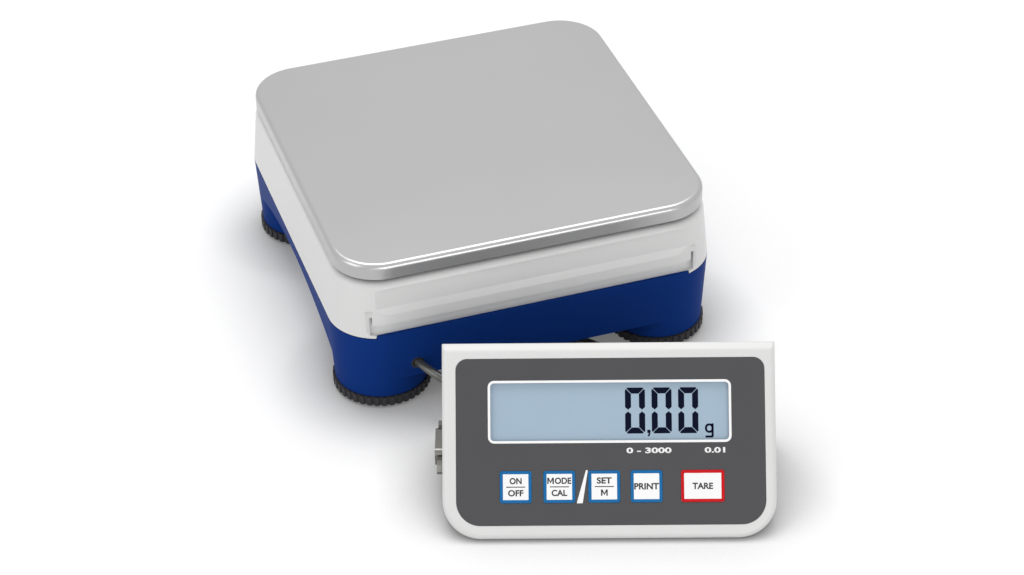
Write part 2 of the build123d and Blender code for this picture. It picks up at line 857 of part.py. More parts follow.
def console_wedge(inset, floor_z):
    """The console's outer form, or one inset from it, down to the height floor_z."""
    toe_y = (floor_z - face_edge_z) / tan(tilt)
    heel = Vector(heel_y + (console_z - floor_z) * back_lean, floor_z)
    with BuildPart() as wedge:
        with BuildSketch(desk_side):
            with BuildLine():
                Polyline((toe_y, floor_z), heel, rim, ridge, close=True)
            make_face()
            if inset:
                offset(amount=-inset, kind=Kind.INTERSECTION)
        extrude(amount=half_console - inset, both=True)
        with BuildSketch(face.offset(bevel_l)) as outline:
            with Locations((-console_off, face_above)):
                Rectangle(console_w - 2 * inset, 2 * (face_above + face_below - inset))
            fillet(outline.vertices().group_by(Axis.Y)[0], corner_low_r - inset)
        extrude(amount=-2 * heel_y, mode=Mode.INTERSECT)
    return wedge.part


def panel_outline(gap):
    """The front panel's outline on the face, smaller all round by gap."""
    with BuildSketch() as outline:
        with Locations((0, panel_h / 2)):
            Rectangle(panel_w, panel_h)
        fillet(outline.vertices().group_by(Axis.Y)[0], panel_low_r)
        fillet(outline.vertices().group_by(Axis.Y)[-1], panel_top_r)
        if gap:
            offset(amount=-gap)
    return outline.sketch


console_posts = [(x, y) for x in (-post_x, post_x) for y in post_y]
console_feet = [(x, y) for x in (-console_foot_x, console_foot_x) for y in console_foot_y]
main_bosses = [(x, y) for x in (-main_boss_x, main_boss_x) for y in main_boss_y]
serial = Plane(desk.from_local_coords((-half_console, serial_y, serial_z)), x_dir=away, z_dir=-across)
inlet = Plane(desk.from_local_coords((half_console, inlet_y, inlet_z)), x_dir=away, z_dir=across)
gland_y = heel_y - (gland_z - console_z) * back_lean
gland = Plane(desk.from_local_coords((gland_x, gland_y, gland_z)), x_dir=-across, z_dir=away)


def d_outline(growth):
    """The D connector's outline, larger all round by growth."""
    with BuildSketch() as outline:
        Trapezoid(d_w, d_h, d_slope)
        fillet(outline.vertices(), d_r)
        if growth:
            offset(amount=growth)
    return outline.sketch


# Console housing: the face, sides and back in one shell, open below
with BuildPart() as post_cores:
    with BuildSketch(desk.offset(console_z + console_base_t)):
        with Locations(*console_posts):
            Circle(post_r)
    extrude(amount=face_above)
    add(console_wedge(shell_t / 2, console_z), mode=Mode.INTERSECT)

with BuildPart() as display_housing:
    add(console_wedge(0, console_z))
    front_face = display_housing.faces().sort_by(Axis(face.origin, face.z_dir))[-1]
    fillet(front_face.edges(), face_edge_r)
    # The rim's long edge and the two short ones beside it
    rim_face = display_housing.faces().sort_by(Axis.Z)[-1]
    fillet(rim_face.edges().sort_by(Axis.Z)[-3:], rim_edge_r)
    add(console_wedge(shell_t, console_z - 2 * shell_t), mode=Mode.SUBTRACT)
    add(post_cores.part)
    with BuildSketch(desk.offset(console_z)):
        with Locations(*console_posts):
            Circle(screw_r - fit_gap)
    extrude(amount=console_base_t + screw_bite, mode=Mode.SUBTRACT)
    # Bosses behind the face for the main board
    with BuildSketch(face.offset(-panel_recess - shell_t / 2)):
        with Locations(*main_bosses):
            Circle(main_boss_r)
    extrude(amount=light_z + panel_recess + shell_t / 2)
    with BuildSketch(face.offset(light_z)):
        with Locations(*main_bosses):
            Circle(board_screw_r)
    extrude(amount=-light_z - panel_recess - shell_t / 2, mode=Mode.SUBTRACT)
    # Recess for the front panel and the opening for the glass behind it
    with BuildSketch(face.offset(-panel_recess)):
        add(panel_outline(0))
    extrude(amount=panel_recess + over, mode=Mode.SUBTRACT)
    with BuildSketch(face.offset(-panel_recess)):
        with Locations((window_x, window_y)):
            Rectangle(glass_w + 2 * glass_gap, glass_h + 2 * glass_gap)
    extrude(amount=-shell_t - over, mode=Mode.SUBTRACT)
    # Openings in the side walls and the back
    with BuildSketch(serial):
        add(d_outline(glass_gap))
        with Locations((-jack_pitch / 2, 0), (jack_pitch / 2, 0)):
            Circle(jack_r + glass_gap)
    extrude(amount=shell_t + over, both=True, mode=Mode.SUBTRACT)
    with BuildSketch(inlet):
        Circle(inlet_nose_r + fit_gap)
    extrude(amount=shell_t + over, both=True, mode=Mode.SUBTRACT)
    with BuildSketch(gland):
        Circle(gland_r)
    extrude(amount=2 * shell_t, both=True, mode=Mode.SUBTRACT)
display_housing.part.label = "display_housing"
export_step(display_housing.part, "parts/display_housing.step")

# Console base with its screws and rubber feet
with BuildPart() as display_base:
    add(console_wedge(shell_t + fit_gap, console_z - 2 * shell_t))
    with BuildSketch(desk.offset(console_z)):
        with Locations((0, heel_y / 2)):
            Rectangle(2 * console_w, 2 * heel_y)
        with Locations(*console_posts):
            Circle(screw_r + fit_gap, mode=Mode.SUBTRACT)
    extrude(amount=console_base_t, mode=Mode.INTERSECT)
    with BuildSketch(desk.offset(console_z)):
        with Locations(*console_posts):
            Circle(screw_head_r + fit_gap)
    extrude(amount=console_base_t / 2, mode=Mode.SUBTRACT)
    with BuildSketch(desk.offset(console_z)):
        with Locations(*console_feet):
            Circle(console_foot_r)
    extrude(amount=console_foot_h - console_z, mode=Mode.SUBTRACT)
display_base.part.label = "display_base"
export_step(display_base.part, "parts/display_base.step")

with BuildPart() as display_feet:
    with BuildSketch(desk):
        with Locations(*console_feet):
            Circle(console_foot_r)
    extrude(amount=console_foot_h)
display_feet.part.label = "display_feet"
export_step(display_feet.part, "parts/display_feet.step")

with BuildPart() as display_screws:
    with BuildSketch(desk.offset(console_z + console_base_t / 2)):
        with Locations(*console_posts):
            Circle(screw_head_r)
    extrude(amount=-console_base_t / 4)
    with BuildSketch(desk.offset(console_z + console_base_t / 2)):
        with Locations(*console_posts):
            Circle(screw_r - fit_gap)
    extrude(amount=console_base_t / 2 + screw_bite - screw_end_gap)
display_screws.part.label = "display_screws"
export_step(display_screws.part, "parts/display_screws.step")

# Front panel: switch film, domes, spacer film, overlay and the keys
with BuildPart() as switch_film:
    with BuildSketch(face.offset(-panel_recess)):
        add(panel_outline(fit_gap))
        with Locations((window_x, window_y)):
            RectangleRounded(window_w, window_h, window_r, mode=Mode.SUBTRACT)
    extrude(amount=film_t)
switch_film.part.label = "switch_film"
export_step(switch_film.part, "parts/switch_film.step")

with BuildPart() as key_domes:
    with BuildSketch(face.offset(film_z)):
        with Locations(*[(x, key_row_y) for x, w in keys.values()]):
            Circle(dome_r)
    extrude(amount=dome_h, taper=45)
key_domes.part.label = "key_domes"
export_step(key_domes.part, "parts/key_domes.step")

with BuildPart() as spacer_film:
    with BuildSketch(face.offset(film_z)):
        add(panel_outline(fit_gap))
        with Locations((window_x, window_y)):
            RectangleRounded(window_w, window_h, window_r, mode=Mode.SUBTRACT)
        for key_x, width in keys.values():
            with Locations((key_x, key_row_y)):
                Rectangle(width + 2 * key_gap, key_h + 2 * key_gap, mode=Mode.SUBTRACT)
    extrude(amount=overlay_z - film_z)
spacer_film.part.label = "spacer_film"
export_step(spacer_film.part, "parts/spacer_film.step")

with BuildPart() as front_panel:
    with BuildSketch(face.offset(overlay_z)):
        add(panel_outline(fit_gap))
        with Locations((window_x, window_y)):
            RectangleRounded(window_w, window_h, window_r, mode=Mode.SUBTRACT)
        for key_x, width in keys.values():
            with Locations((key_x, key_row_y)):
                RectangleRounded(width + 2 * key_gap, key_h + 2 * key_gap, key_r, mode=Mode.SUBTRACT)
    extrude(amount=overlay_t)
front_panel.part.label = "front_panel"
export_step(front_panel.part, "parts/front_panel.step")

for key_name, (key_x, width) in keys.items():
    with BuildPart() as key:
        with BuildSketch(face.offset(key_proud)):
            with Locations((key_x, key_row_y)):
                RectangleRounded(width, key_h, key_r)
        extrude(amount=-key_t)
    key.part.label = key_name
    export_step(key.part, f"parts/{key_name}.step")

# Display glass, its light and the main board
with BuildPart() as lcd_glass:
    with BuildSketch(face.offset(-panel_recess)):
        with Locations((window_x, window_y)):
            Rectangle(glass_w, glass_h)
    extrude(amount=-glass_t)
lcd_glass.part.label = "lcd_glass"
export_step(lcd_glass.part, "parts/lcd_glass.step")

with BuildPart() as lcd_light:
    with BuildSketch(face.offset(glass_z)):
        with Locations((window_x, window_y)):
            Rectangle(glass_w, glass_h)
    extrude(amount=-light_t)
lcd_light.part.label = "lcd_light"
export_step(lcd_light.part, "parts/lcd_light.step")

with BuildPart() as main_board:
    with BuildSketch(face.offset(light_z)):
        with Locations((0, (main_low + main_high) / 2)):
            Rectangle(main_w, main_high - main_low)
        with Locations(*main_bosses):
            Circle(board_screw_r, mode=Mode.SUBTRACT)
    extrude(amount=-main_t)
main_board.part.label = "main_board"
export_step(main_board.part, "parts/main_board.step")

with BuildPart() as main_board_parts:
    with BuildSketch(face.offset(main_z)):
        with Locations((0, cpu_y)):
            Rectangle(cpu_w, cpu_w)
        with Locations((cpu_side_x, cpu_y), (-cpu_side_x, cpu_y)):
            Rectangle(cpu_w / 2, cpu_w)
        with Locations((driver_x, driver_y)):
            Rectangle(cpu_w, cpu_w / 2)
    extrude(amount=-cpu_t)
main_board_parts.part.label = "main_board_parts"
export_step(main_board_parts.part, "parts/main_board_parts.step")

with BuildPart() as main_board_screws:
    with BuildSketch(face.offset(main_z)):
        with Locations(*main_bosses):
            Circle(board_screw_head_r)
    extrude(amount=-board_screw_head_h)
    with BuildSketch(face.offset(main_z)):
        with Locations(*main_bosses):
            Circle(board_screw_r)
    extrude(amount=main_t + main_boss_r)
main_board_screws.part.label = "main_board_screws"
export_step(main_board_screws.part, "parts/main_board_screws.step")

# Serial port: metal shell, insulator and the two hexagonal jack posts
with BuildPart() as serial_shell:
    with BuildSketch(serial.offset(-shell_t)):
        RectangleRounded(flange_w, flange_h, flange_t)
        with Locations((-jack_pitch / 2, 0), (jack_pitch / 2, 0)):
            Circle(flange_hole_r, mode=Mode.SUBTRACT)
    extrude(amount=-flange_t)
    with BuildSketch(serial.offset(-shell_t)):
        add(d_outline(0))
    extrude(amount=d_out)
    with BuildSketch(serial.offset(-shell_t - flange_t)):
        add(d_outline(-d_wall))
    extrude(amount=flange_t + d_out, mode=Mode.SUBTRACT)
serial_shell.part.label = "serial_shell"
export_step(serial_shell.part, "parts/serial_shell.step")

pins = [((i - 2) * pin_pitch, pin_row / 2) for i in range(5)]
pins += [((i - 1.5) * pin_pitch, -pin_row / 2) for i in range(4)]
with BuildPart() as serial_insert:
    with BuildSketch(serial.offset(-shell_t - insert_back)):
        add(d_outline(-d_wall))
        with Locations(*pins):
            Circle(pin_hole_r, mode=Mode.SUBTRACT)
    extrude(amount=insert_back + d_out - d_wall)
serial_insert.part.label = "serial_insert"
export_step(serial_insert.part, "parts/serial_insert.step")

with BuildPart() as serial_jacks:
    with BuildSketch(serial.offset(-shell_t)):
        with Locations((-jack_pitch / 2, 0), (jack_pitch / 2, 0)):
            RegularPolygon(jack_r, 6)
            Circle(jack_bore_r, mode=Mode.SUBTRACT)
    extrude(amount=jack_l)
serial_jacks.part.label = "serial_jacks"
export_step(serial_jacks.part, "parts/serial_jacks.step")

# Power inlet
with BuildPart() as power_inlet:
    with BuildSketch(inlet.offset(-shell_t)):
        Rectangle(inlet_body, inlet_body)
    extrude(amount=-inlet_body)
    with BuildSketch(inlet.offset(-shell_t)):
        Circle(inlet_nose_r)
    extrude(amount=shell_t)
    with BuildSketch(inlet):
        Circle(inlet_bore_r)
        Circle(inlet_pin_r, mode=Mode.SUBTRACT)
    extrude(amount=-inlet_depth, mode=Mode.SUBTRACT)
power_inlet.part.label = "power_inlet"
export_step(power_inlet.part, "parts/power_inlet.step")


def cord_tube(points):
    """A round tube through the points, its arcs as large as each pair of runs allows."""
    path = [Vector(x, y + unit_y, z) for x, y, z in points]
    runs = [(b - a) for a, b in zip(path, path[1:])]
    radii = []
    for a, b in zip(runs, runs[1:]):
        half_turn = radians(a.get_angle(b)) / 2
        radii.append(bend_share * min(a.length, b.length) / tan(half_turn))
    with BuildPart() as tube:
        with BuildLine() as line:
            FilletPolyline(*path, radius=radii)
        with BuildSketch(Plane(line.line @ 0, z_dir=line.line % 0)):
            Circle(cord_r)
        sweep()
    length = sum(edge.length for edge in line.edges())
    share = tube.part.volume / (pi * cord_r**2 * length)
    print(f"arc radii {min(radii):.1f} to {max(radii):.1f}, length {length:.1f}, volume share {share:.4f}")
    return tube.part


# Cord: the way out of the unit, the coil with its tie, and the way to the console
with BuildPart() as cord_lead:
    add(cord_tube(cord_out))
cord_lead.part.label = "cord_lead"
export_step(cord_lead.part, "parts/cord_lead.step")

with BuildPart() as cord_tail:
    add(cord_tube(cord_back))
cord_tail.part.label = "cord_tail"
export_step(cord_tail.part, "parts/cord_tail.step")

coil_in_r = coil_mid_r - coil_turns * cord_r
coil_out_r = coil_mid_r + coil_turns * cord_r
coil_h = 2 * cord_r * coil_layers
with BuildPart() as cord_coil:
    with BuildSketch(unit.offset(tie_t)):
        with Locations((coil_x, coil_y)):
            Circle(coil_out_r)
            Circle(coil_in_r, mode=Mode.SUBTRACT)
    extrude(amount=coil_h)
    fillet(cord_coil.edges().filter_by(GeomType.CIRCLE), cord_r)
cord_coil.part.label = "cord_coil"
export_step(cord_coil.part, "parts/cord_coil.step")
print(f"coil length {2 * pi * coil_mid_r * wound_turns:.1f}")

tie_turn = radians(tie_angle)
tie_out = Vector(cos(tie_turn), sin(tie_turn), 0)
tie_across = Vector(sin(tie_turn), -cos(tie_turn), 0)
tie = Plane((coil_x, coil_y + unit_y, tie_t + coil_h / 2), x_dir=tie_out, z_dir=tie_across)
with BuildPart() as cord_tie:
    with BuildSketch(tie.offset(-tie_w / 2)):
        with Locations((coil_mid_r, 0)):
            Rectangle(coil_out_r - coil_in_r + 2 * (tie_t + fit_gap), coil_h + 2 * tie_t)
            Rectangle(coil_out_r - coil_in_r + 2 * fit_gap, coil_h, mode=Mode.SUBTRACT)
    extrude(amount=tie_w)
cord_tie.part.label = "cord_tie"
export_step(cord_tie.part, "parts/cord_tie.step")

# Grommet where the cord leaves the unit, and the gland where it enters the console
with BuildPart() as cord_grommet:
    with BuildSketch(hole):
        Circle(grommet_r)
    extrude(amount=-wall)
    with BuildSketch(hole.offset(-wall)):
        Circle(grommet_flange_r)
    extrude(amount=-grommet_flange_t)
    with BuildSketch(hole):
        Circle(cord_r + fit_gap)
    extrude(amount=-wall - grommet_flange_t, mode=Mode.SUBTRACT)
cord_grommet.part.label = "cord_grommet"
export_step(cord_grommet.part, "parts/cord_grommet.step")

with BuildPart() as cord_gland:
    with BuildSketch(gland.offset(-gland_inside)):
        Circle(gland_r)
    extrude(amount=gland_inside)
    with BuildSketch(gland):
        Circle(gland_r)
    with BuildSketch(gland.offset(gland_l)):
        Circle(gland_tip_r)
    loft()
    with BuildSketch(gland.offset(gland_l)):
        Circle(cord_r)
    extrude(amount=-gland_l - gland_inside, mode=Mode.SUBTRACT)
cord_gland.part.label = "cord_gland"
export_step(cord_gland.part, "parts/cord_gland.step")
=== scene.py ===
"""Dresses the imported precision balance: stage, cord, finishes and printed parts."""
from math import cos, pi, radians, sin

import bmesh
import bpy
from bpy.props import FloatProperty, FloatVectorProperty, IntProperty, PointerProperty
from mathutils import Matrix, Vector


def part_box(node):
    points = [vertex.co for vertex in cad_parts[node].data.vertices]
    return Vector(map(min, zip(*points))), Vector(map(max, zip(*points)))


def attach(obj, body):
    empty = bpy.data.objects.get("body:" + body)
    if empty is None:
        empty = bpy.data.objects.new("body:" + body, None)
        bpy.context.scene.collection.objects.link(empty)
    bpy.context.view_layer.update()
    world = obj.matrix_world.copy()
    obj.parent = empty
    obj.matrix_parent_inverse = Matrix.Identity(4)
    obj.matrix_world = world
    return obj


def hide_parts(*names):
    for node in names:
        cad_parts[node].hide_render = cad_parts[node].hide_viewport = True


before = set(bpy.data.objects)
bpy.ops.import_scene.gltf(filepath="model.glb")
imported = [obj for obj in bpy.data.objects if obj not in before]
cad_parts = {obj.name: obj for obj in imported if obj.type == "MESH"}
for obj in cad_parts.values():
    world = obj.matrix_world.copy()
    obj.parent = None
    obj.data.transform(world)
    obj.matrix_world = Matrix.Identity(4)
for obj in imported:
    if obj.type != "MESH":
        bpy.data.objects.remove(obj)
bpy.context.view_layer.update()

bl_info = {
    "name": "Precision balance",
    "version": (1, 0, 0),
    "blender": (4, 5, 0),
    "location": "View3D > Sidebar > Balance",
    "description": "Finishes, prints and a studio stage for a precision balance",
    "category": "Object",
}

MM = 0.001
ROOT = "instrument"
KEYS = ("on_off", "mode", "set", "print", "tare")
FEET = ("front_left", "front_right", "back_left", "back_right")


def middle(node):
    """The middle of a CAD node's box."""
    low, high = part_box(node)
    return (Vector(low) + Vector(high)) / 2


UNIT = middle("weighing_plate")

# Face of the console: its lower edge's middle, its turn and its tilt
FACE_PLACE = Vector((-5.1 * MM, UNIT.y - 187.2 * MM, 6.0 * MM))
FACE_TURN = radians(-18.7)
FACE_TILT = radians(49.0)
FACE = Matrix.Translation(FACE_PLACE) @ Matrix.Rotation(FACE_TURN, 4, "Z")
FACE = FACE @ Matrix.Rotation(FACE_TILT, 4, "X")
FACE_MM = FACE @ Matrix.Scale(MM, 4)

# Heights above the face, in millimetres
OVERLAY_TOP = 0.1
KEY_TOP = 0.25
GLASS_TOP = -1.2
PRINT_T = 0.015

# Prints: steps in a rounded corner and in a letter's curve, how much letters swell, what counts as one point
PATCH_STEPS = 5
OUTLINE_STEPS = 4
LETTER_STEPS = 6
LETTER_SWELL = 0.034
WELD = 0.004

RELIEF = 0.05 * MM
FLOOR_HALF = 6.0
FLOOR_DULLNESS = 0.9
FLOOR_GLOSS = 0.1
# Samples of the floor's painted contact shade
PAINTED_SHADE_SAMPLES = 8
SENSOR_WIDTH = 36.0

# Softboxes: place, where they point, width and height
SOFTBOXES = {
    "softbox_above": ((0.1, 0.42, 1.3), (0, 0, 0), 1.1, 0.7),
    "softbox_left": ((-1.3, -0.3, 0.7), (0, 0, 0.03), 0.7, 0.9),
    "softbox_front": ((0.1, -1.9, 0.45), (0, 0, 0.03), 1.4, 0.6),
}


class StageSettings(bpy.types.PropertyGroup):
    camera_place: FloatVectorProperty(
        name="Camera", description="Place of the camera", subtype="TRANSLATION", unit="LENGTH",
        default=(-0.28509, UNIT.y - 0.93504, 0.70393))
    camera_turn: FloatProperty(
        name="Turn", description="Camera's turn from +Y towards +X", subtype="ANGLE", default=radians(17.87))
    camera_drop: FloatProperty(
        name="Drop", description="Angle of the view below the horizon", subtype="ANGLE", default=radians(36.16))
    camera_roll: FloatProperty(
        name="Roll", description="Camera's roll", subtype="ANGLE", default=radians(-0.95))
    lens: FloatProperty(name="Lens", description="Focal length in millimetres", default=95.73)
    floor_colour: FloatVectorProperty(
        name="Floor", description="Colour of the floor", subtype="COLOR", size=3, default=(0.84, 0.84, 0.84))
    floor_lift: FloatProperty(
        name="Lift", description="Glow that makes the floor white", default=0.14, min=0.0)
    # Painted shade: how far round the object the floor's colour is darkened
    painted_contact_shade: FloatProperty(
        name="Contact", description="Reach of the shade close round the object", unit="LENGTH",
        default=0.030, min=0.0)
    world_light: FloatProperty(
        name="World", description="Strength of the light all round", default=0.60, min=0.0)
    key_light: FloatProperty(name="Key", description="Power of the softbox above", default=9.0, min=0.0)
    side_light: FloatProperty(
        name="Side", description="Power of the softbox on the left", default=3.2, min=0.0)
    front_light: FloatProperty(
        name="Front", description="Power of the softbox in front", default=9.0, min=0.0)


class CordSettings(bpy.types.PropertyGroup):
    radius: FloatProperty(name="Radius", description="Half the cord's width", unit="LENGTH", default=1.9 * MM)
    coil_radius: FloatProperty(
        name="Coil", description="Outermost turn of the put-away coil", unit="LENGTH", default=26.7 * MM)
    points_a_turn: IntProperty(name="Points", description="Control points in each turn", default=20, min=12)


class PrintSettings(bpy.types.PropertyGroup):
    stripe_count: IntProperty(name="Stripes", description="Slanted stripes on the overlay", default=4, min=0)
    stripe_width: FloatProperty(name="Stripe", description="Width of a stripe in millimetres", default=2.3)
    stripe_gap: FloatProperty(name="Gap", description="Gap between stripes in millimetres", default=1.9)
    stripe_lean: FloatProperty(
        name="Lean", description="Slant of the stripes", subtype="ANGLE", default=radians(16.0))
    frame_width: FloatProperty(
        name="Key frame", description="Width of a key's coloured frame in millimetres", default=1.2)


class FinishSettings(bpy.types.PropertyGroup):
    cover: FloatVectorProperty(
        name="Cover", description="Warm white plastic", subtype="COLOR", size=3, default=(0.69, 0.69, 0.685))
    housing: FloatVectorProperty(
        name="Housing", description="Blue plastic", subtype="COLOR", size=3, default=(0.005, 0.033, 0.19))
    overlay: FloatVectorProperty(
        name="Overlay", description="Charcoal film", subtype="COLOR", size=3, default=(0.078, 0.078, 0.082))
    glass: FloatVectorProperty(
        name="Display", description="Unlit display", subtype="COLOR", size=3, default=(0.34, 0.45, 0.555))
    plate: FloatVectorProperty(
        name="Plate", description="Satin steel", subtype="COLOR", size=3, default=(0.45, 0.45, 0.45))


def add_piece(name, mesh, material, body):
    """Links a finished mesh as a piece with its material, riding on a body."""
    piece = bpy.data.objects.new(name, mesh)
    bpy.context.scene.collection.objects.link(piece)
    mesh.materials.clear()
    mesh.materials.append(material)
    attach(piece, body)


# Node groups: each puts out a colour, a roughness and a height that vary over the surface


def new_group(name, inputs):
    """An empty node group with float or colour inputs and the three usual outputs."""
    tree = bpy.data.node_groups.new(name, "ShaderNodeTree")
    for label, kind, value in inputs:
        socket = tree.interface.new_socket(label, in_out="INPUT", socket_type=kind)
        socket.default_value = value
    tree.interface.new_socket("Colour", in_out="OUTPUT", socket_type="NodeSocketColor")
    tree.interface.new_socket("Roughness", in_out="OUTPUT", socket_type="NodeSocketFloat")
    tree.interface.new_socket("Height", in_out="OUTPUT", socket_type="NodeSocketFloat")
    return tree, tree.nodes.new("NodeGroupInput"), tree.nodes.new("NodeGroupOutput")


def noise(tree, vector, scale, detail):
    """A noise texture in a node tree."""
    node = tree.nodes.new("ShaderNodeTexNoise")
    node.inputs["Scale"].default_value = scale
    node.inputs["Detail"].default_value = detail
    tree.links.new(vector, node.inputs["Vector"])
    return node.outputs["Fac"]


def spread(tree, value, low, high):
    """Maps the middle half of 0 to 1 onto low to high."""
    node = tree.nodes.new("ShaderNodeMapRange")
    node.inputs["From Min"].default_value = 0.25
    node.inputs["From Max"].default_value = 0.75
    node.inputs["To Min"].default_value = low
    node.inputs["To Max"].default_value = high
    tree.links.new(value, node.inputs["Value"])
    return node.outputs["Result"]


def multiply(tree, a, b):
    """The product of two values."""
    node = tree.nodes.new("ShaderNodeMath")
    node.operation = "MULTIPLY"
    tree.links.new(a, node.inputs[0])
    tree.links.new(b, node.inputs[1])
    return node.outputs["Value"]


def tint(tree, colour, amount):
    """A colour made lighter or darker by a varying amount."""
    node = tree.nodes.new("ShaderNodeVectorMath")
    node.operation = "SCALE"
    tree.links.new(colour, node.inputs[0])
    tree.links.new(amount, node.inputs["Scale"])
    return node.outputs["Vector"]


def mottled_group(name, stretch, fine_scale, fine_detail, cloud, tone, gloss):
    """Fine grain over slow clouds of tone: moulded plastic, rubber or ground metal."""
    inputs = [
        ("Vector", "NodeSocketVector", (0, 0, 0)),
        ("Base", "NodeSocketColor", (0.5, 0.5, 0.5, 1)),
        ("Dullness", "NodeSocketFloat", 0.4),
    ]
    tree, source, target = new_group(name, inputs)
    mapping = tree.nodes.new("ShaderNodeMapping")
    mapping.inputs["Scale"].default_value = stretch
    tree.links.new(source.outputs["Vector"], mapping.inputs["Vector"])
    fine = noise(tree, mapping.outputs["Vector"], fine_scale, fine_detail)
    slow = noise(tree, source.outputs["Vector"], cloud, 3.0)
    clouds = spread(tree, slow, 1 - tone, 1 + tone)
    grains = spread(tree, fine, 1 - tone / 2, 1 + tone / 2)
    tree.links.new(
        tint(tree, source.outputs["Base"], multiply(tree, clouds, grains)), target.inputs["Colour"])
    dull = multiply(tree, source.outputs["Dullness"], spread(tree, slow, 1 - gloss, 1 + gloss))
    tree.links.new(dull, target.inputs["Roughness"])
    tree.links.new(fine, target.inputs["Height"])
    return tree


EVEN = (1.0, 1.0, 1.0)
ALONG_X = (0.02, 1.0, 1.0)


def make_groups():
    """The grain groups by name."""
    return {
        "spark_grain": mottled_group("spark_grain", EVEN, 2600.0, 2.0, 22.0, 0.012, 0.06),
        "smooth_grain": mottled_group("smooth_grain", EVEN, 900.0, 2.0, 30.0, 0.02, 0.10),
        "film_grain": mottled_group("film_grain", EVEN, 5200.0, 1.0, 40.0, 0.02, 0.05),
        "satin_grain": mottled_group("satin_grain", EVEN, 3800.0, 3.0, 9.0, 0.02, 0.04),
        "ground_grain": mottled_group("ground_grain", ALONG_X, 2400.0, 4.0, 18.0, 0.03, 0.12),
        "rubber_grain": mottled_group("rubber_grain", EVEN, 1500.0, 4.0, 60.0, 0.10, 0.10),
    }


def make_finish(groups, name, grain, colour, dullness, bump=0.0, metallic=0.0, **sockets):
    """A material: a grain group into the shader, with a bump where the grain is felt."""
    material = bpy.data.materials.new(name)
    material.use_nodes = True
    tree = material.node_tree
    shader = tree.nodes["Principled BSDF"]
    coordinates = tree.nodes.new("ShaderNodeTexCoord")
    pattern = tree.nodes.new("ShaderNodeGroup")
    pattern.node_tree = groups[grain]
    pattern.inputs["Base"].default_value = (*colour, 1.0)
    pattern.inputs["Dullness"].default_value = dullness
    tree.links.new(coordinates.outputs["Object"], pattern.inputs["Vector"])
    tree.links.new(pattern.outputs["Colour"], shader.inputs["Base Color"])
    tree.links.new(pattern.outputs["Roughness"], shader.inputs["Roughness"])
    shader.inputs["Metallic"].default_value = metallic
    for socket, value in sockets.items():
        shader.inputs[socket.replace("_", " ")].default_value = value
    if bump:
        relief = tree.nodes.new("ShaderNodeBump")
        relief.inputs["Strength"].default_value = bump
        relief.inputs["Distance"].default_value = RELIEF
        tree.links.new(pattern.outputs["Height"], relief.inputs["Height"])
        tree.links.new(relief.outputs["Normal"], shader.inputs["Normal"])
    return material


def make_finishes(settings):
    """Every material of the object, by name."""
    groups = make_groups()
    made = {}

    def add(name, grain, colour, dullness, **more):
        made[name] = make_finish(groups, name, grain, colour, dullness, **more)

    add("cover_white", "spark_grain", settings.cover, 0.36, bump=0.10)
    add("housing_blue", "spark_grain", settings.housing, 0.45, bump=0.12, Specular_IOR_Level=0.02)
    add("base_grey", "spark_grain", (0.45, 0.45, 0.45), 0.5, bump=0.2)
    add("plate_steel", "satin_grain", settings.plate, 0.30, bump=0.05, metallic=1.0)
    add("foot_black", "rubber_grain", (0.033, 0.032, 0.036), 0.45, bump=0.3, Specular_IOR_Level=0.3)
    add("foot_rubber", "rubber_grain", (0.02, 0.02, 0.02), 0.75, bump=0.4)
    add("cast_alloy", "smooth_grain", (0.62, 0.62, 0.63), 0.42, bump=0.25, metallic=1.0)
    add("milled_alloy", "ground_grain", (0.66, 0.66, 0.67), 0.32, bump=0.1, metallic=1.0)
    add("bush_brass", "ground_grain", (0.71, 0.52, 0.25), 0.3, metallic=1.0)
    add("zinc_steel", "smooth_grain", (0.58, 0.58, 0.57), 0.35, metallic=1.0)
    add("rest_rubber", "rubber_grain", (0.05, 0.05, 0.05), 0.7, bump=0.3)
    add("potting_white", "smooth_grain", (0.72, 0.72, 0.69), 0.3, bump=0.2)
    add("board_green", "smooth_grain", (0.02, 0.16, 0.06), 0.35)
    add("part_black", "smooth_grain", (0.02, 0.02, 0.02), 0.4)
    add("connector_ivory", "smooth_grain", (0.75, 0.72, 0.6), 0.4)
    add("lead_grey", "rubber_grain", (0.15, 0.15, 0.15), 0.45)
    add("ring_black", "smooth_grain", (0.015, 0.015, 0.015), 0.25)
    add("overlay_charcoal", "film_grain", settings.overlay, 0.42, bump=0.12, Specular_IOR_Level=0.15)
    add("film_clear", "film_grain", (0.35, 0.35, 0.36), 0.3)
    add("dome_steel", "smooth_grain", (0.6, 0.6, 0.6), 0.25, metallic=1.0)
    add("key_white", "film_grain", (0.90, 0.90, 0.90), 0.38, bump=0.08)
    add("display_glass", "film_grain", settings.glass, 0.30)
    add("diffuser_white", "smooth_grain", (0.8, 0.83, 0.85), 0.4)
    # Nickel with painted shade: the shell's colour is darkened well below bright nickel to stand in for the
    # shade the connector sits in
    add("nickel_shell", "smooth_grain", (0.22, 0.215, 0.20), 0.30, metallic=1.0)
    add("insert_black", "smooth_grain", (0.02, 0.02, 0.024), 0.4)
    add("cord_black", "smooth_grain", (0.055, 0.055, 0.045), 0.32, Coat_Weight=1.0, Coat_Roughness=0.15)
    add("cord_rubber", "rubber_grain", (0.02, 0.02, 0.02), 0.5, bump=0.2)
    add("print_white", "film_grain", (0.90, 0.90, 0.90), 0.4)
    add("print_blue", "film_grain", (0.008, 0.138, 0.37), 0.4, Specular_IOR_Level=0.15)
    add("print_red", "film_grain", (0.58, 0.006, 0.012), 0.4, Specular_IOR_Level=0.15)
    add("print_grey", "film_grain", (0.048, 0.048, 0.052), 0.4, Specular_IOR_Level=0.2)
    add("segment_ink", "film_grain", (0.0030, 0.0045, 0.018), 0.5, Specular_IOR_Level=0.05)
    add("level_liquid", "smooth_grain", (0.55, 0.85, 0.12), 0.05, Transmission_Weight=0.85, IOR=1.45)
    return made


